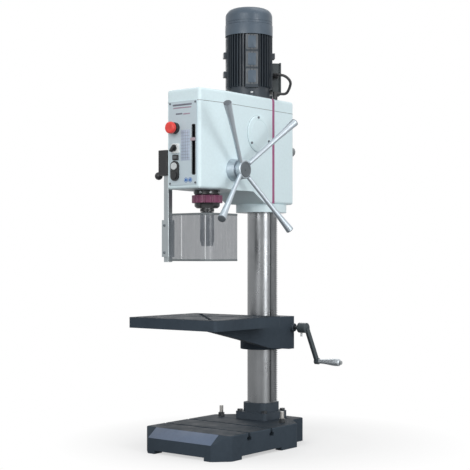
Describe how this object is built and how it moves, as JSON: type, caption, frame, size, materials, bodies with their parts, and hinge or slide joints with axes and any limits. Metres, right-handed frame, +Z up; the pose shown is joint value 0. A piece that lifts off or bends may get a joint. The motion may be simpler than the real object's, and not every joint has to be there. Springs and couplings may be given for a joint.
{
  "type": "pillar drilling machine",
  "caption": "Floor-standing geared pillar drilling machine with round column, T-slotted base, crank-raised table, four-arm feed, hinged chuck guard and top-mounted motor.",
  "frame": {"origin": "on the floor, on the axis of the column", "axes": "+Z up along the column, -Y towards the operator, +X to the operator's right"},
  "size_m": [0.535, 0.7246, 1.785],
  "materials": {
    "grey_casting": "satin slate grey paint on cast iron",
    "zinc_steel": "zinc plated",
    "ground_steel": "ground and oiled",
    "chuck_steel": "ground and knurled",
    "black_steel": "blackened",
    "silver_handle": "turned, satin",
    "white_enamel": "semi-gloss enamel",
    "panel_grey": "satin printed sheet",
    "black_plastic": "fine moulded grain",
    "lead_sheath": "matte sheath",
    "red_plastic": "moulded",
    "magenta_enamel": "semi-gloss enamel",
    "pale_plastic": "moulded",
    "motor_grey": "satin paint on cast aluminium",
    "motor_steel": "laminated steel",
    "guard_aluminium": "anodised",
    "guard_clear": "clear polycarbonate"
  },
  "bodies": {
    "root": {"base_plate": "grey_casting", "column_foot": "grey_casting", "floor_fasteners": "zinc_steel", "column_tube": "ground_steel", "head_casting": "white_enamel", "head_top_cover": "white_enamel", "front_panel": "panel_grey", "cover_screws": "zinc_steel", "side_cover": "white_enamel", "emergency_stop_base": "black_plastic", "selector_plate": "panel_grey", "button_bezel": "black_plastic", "depth_slot_trim": "black_plastic", "feed_boss": "silver_handle", "return_spring_housing": "black_plastic", "spindle_flange": "black_steel", "shaft_bearings": "ground_steel", "motor_flange": "motor_grey", "motor_housing": "motor_grey", "motor_cowl": "motor_grey", "motor_stator": "motor_steel", "terminal_box": "black_plastic", "terminal_box_lid": "black_plastic", "cable_glands": "black_plastic", "motor_cable": "lead_sheath", "guard_switch_box": "black_plastic"},
    "rack": {"lift_rack": "ground_steel"},
    "table": {"table_casting": "grey_casting", "crank_bushing": "grey_casting"},
    "crank": {"crank_shaft": "ground_steel", "crank_arm": "black_steel", "crank_fixings": "zinc_steel"},
    "crank_grip": {"crank_grip": "silver_handle"},
    "lift_gear": {"lift_gear": "ground_steel"},
    "table_clamp": {"table_clamp_lever": "black_plastic"},
    "capstan": {"feed_shaft": "ground_steel", "capstan_hub": "silver_handle", "capstan_arms": "silver_handle"},
    "quill": {"quill": "ground_steel", "depth_collar": "black_steel"},
    "depth_ring": {"depth_ring": "magenta_enamel"},
    "spindle": {"spindle": "ground_steel", "chuck_body": "chuck_steel", "chuck_jaws": "ground_steel"},
    "chuck_sleeve": {"chuck_sleeve": "chuck_steel"},
    "drive_sleeve": {"drive_sleeve": "ground_steel"},
    "gear_b": {"gear_shaft_b": "ground_steel"},
    "gear_c": {"gear_shaft_c": "ground_steel"},
    "motor_rotor": {"motor_rotor": "ground_steel", "cooling_fan": "black_plastic"},
    "depth_pointer": {"depth_pointer": "magenta_enamel"},
    "emergency_button": {"emergency_stop_button": "red_plastic"},
    "selector": {"selector_knob": "black_plastic"},
    "start_button": {"start_button": "pale_plastic"},
    "off_button": {"off_button": "black_plastic"},
    "gear_lever": {"gear_lever": "black_plastic"},
    "main_switch": {"main_switch_knob": "black_plastic"},
    "guard_post": {"guard_post": "guard_aluminium"},
    "guard": {"guard_bracket": "guard_aluminium", "guard_shield": "guard_clear"}
  },
  "joints": [
    {"name": "table_swing", "type": "hinge", "parent": "root", "child": "rack", "pos_m": [0, 0, 0.4], "axis": [0, 0, 1], "range_deg": [-60, 60]},
    {"name": "table_lift", "type": "slide", "parent": "rack", "child": "table", "axis": [0, 0, 1], "range_m": [-0.1651, 0.1901]},
    {"name": "crank_turn", "type": "hinge", "parent": "table", "child": "crank", "pos_m": [0.16, 0.062, 0.474], "axis": [1, 0, 0], "range_deg": [-13063.4, 11344.6]},
    {"name": "grip_spin", "type": "hinge", "parent": "crank", "child": "crank_grip", "pos_m": [0.26, 0.13758, 0.33185], "axis": [1, 0, 0], "continuous": true},
    {"name": "lift_gear_turn", "type": "hinge", "parent": "table", "child": "lift_gear", "pos_m": [0.0885, 0, 0.445], "axis": [0, 1, 0], "range_deg": [-726.1, 726.1]},
    {"name": "table_clamp_turn", "type": "hinge", "parent": "table", "child": "table_clamp", "pos_m": [-0.1, 0.04, 0.452], "axis": [1, 0, 0], "range_deg": [-40, 40]},
    {"name": "capstan_turn", "type": "hinge", "parent": "root", "child": "capstan", "pos_m": [0.15, -0.315, 1.107], "axis": [1, 0, 0], "range_deg": [0, 429.7], "stiffness_Nm_per_rad": 0.15, "springref_deg": -687.55},
    {"name": "quill_feed", "type": "slide", "parent": "root", "child": "quill", "axis": [0, 0, 1], "range_m": [-0.1201, 0.0001]},
    {"name": "depth_ring_turn", "type": "hinge", "parent": "quill", "child": "depth_ring", "pos_m": [0, -0.354, 0.99], "axis": [0, 0, 1], "range_deg": [-180, 180]},
    {"name": "spindle_spin", "type": "hinge", "parent": "quill", "child": "spindle", "pos_m": [0, -0.354, 1], "axis": [0, 0, 1], "continuous": true},
    {"name": "chuck_turn", "type": "hinge", "parent": "spindle", "child": "chuck_sleeve", "pos_m": [0, -0.354, 0.85], "axis": [0, 0, 1], "range_deg": [-180, 180]},
    {"name": "sleeve_spin", "type": "hinge", "parent": "root", "child": "drive_sleeve", "pos_m": [0, -0.354, 1.25], "axis": [0, 0, 1], "continuous": true},
    {"name": "motor_spin", "type": "hinge", "parent": "root", "child": "motor_rotor", "pos_m": [0, -0.084, 1.5], "axis": [0, 0, 1], "continuous": true},
    {"name": "gear_b_spin", "type": "hinge", "parent": "root", "child": "gear_b", "pos_m": [0, -0.174, 1.3], "axis": [0, 0, 1], "continuous": true},
    {"name": "gear_c_spin", "type": "hinge", "parent": "root", "child": "gear_c", "pos_m": [0, -0.264, 1.3], "axis": [0, 0, 1], "continuous": true},
    {"name": "depth_pointer_slide", "type": "slide", "parent": "root", "child": "depth_pointer", "axis": [0, 0, 1], "range_m": [-0.1201, 0.0001]},
    {"name": "emergency_press", "type": "slide", "parent": "root", "child": "emergency_button", "axis": [0, 1, 0], "range_m": [0, 0.005], "stiffness_N_per_m": 800, "springref_m": -0.002},
    {"name": "selector_turn", "type": "hinge", "parent": "root", "child": "selector", "pos_m": [-0.037, -0.503, 1.186], "axis": [0, 1, 0], "range_deg": [-75, 75]},
    {"name": "start_press", "type": "slide", "parent": "root", "child": "start_button", "axis": [0, 1, 0], "range_m": [0, 0.004], "stiffness_N_per_m": 400, "springref_m": -0.002},
    {"name": "off_press", "type": "slide", "parent": "root", "child": "off_button", "axis": [0, 1, 0], "range_m": [0, 0.004], "stiffness_N_per_m": 400, "springref_m": -0.002},
    {"name": "gear_lever_turn", "type": "hinge", "parent": "root", "child": "gear_lever", "pos_m": [-0.11, -0.405, 1.112], "axis": [1, 0, 0], "range_deg": [-40, 40]},
    {"name": "main_switch_turn", "type": "hinge", "parent": "root", "child": "main_switch", "pos_m": [0.072, 0.1, 1.209], "axis": [0, 1, 0], "range_deg": [0, 90]},
    {"name": "guard_swing", "type": "hinge", "parent": "root", "child": "guard_post", "pos_m": [-0.116, -0.4545, 1], "axis": [0, 0, 1], "range_deg": [-110, 0]},
    {"name": "guard_height", "type": "slide", "parent": "guard_post", "child": "guard", "axis": [0, 0, 1], "range_m": [0, 0.04]}
  ],
  "couplings": [
    {"joint": "table_lift", "follows": "crank_turn", "m_per_rad": -0.00083333},
    {"joint": "lift_gear_turn", "follows": "crank_turn", "ratio": 0.055556},
    {"joint": "quill_feed", "follows": "capstan_turn", "m_per_rad": -0.016},
    {"joint": "depth_pointer_slide", "follows": "capstan_turn", "m_per_rad": -0.016},
    {"joint": "gear_b_spin", "follows": "motor_spin", "ratio": -0.38462},
    {"joint": "gear_c_spin", "follows": "motor_spin", "ratio": 0.19231},
    {"joint": "sleeve_spin", "follows": "motor_spin", "ratio": -0.13736},
    {"joint": "spindle_spin", "follows": "motor_spin", "ratio": -0.13736}
  ]
}
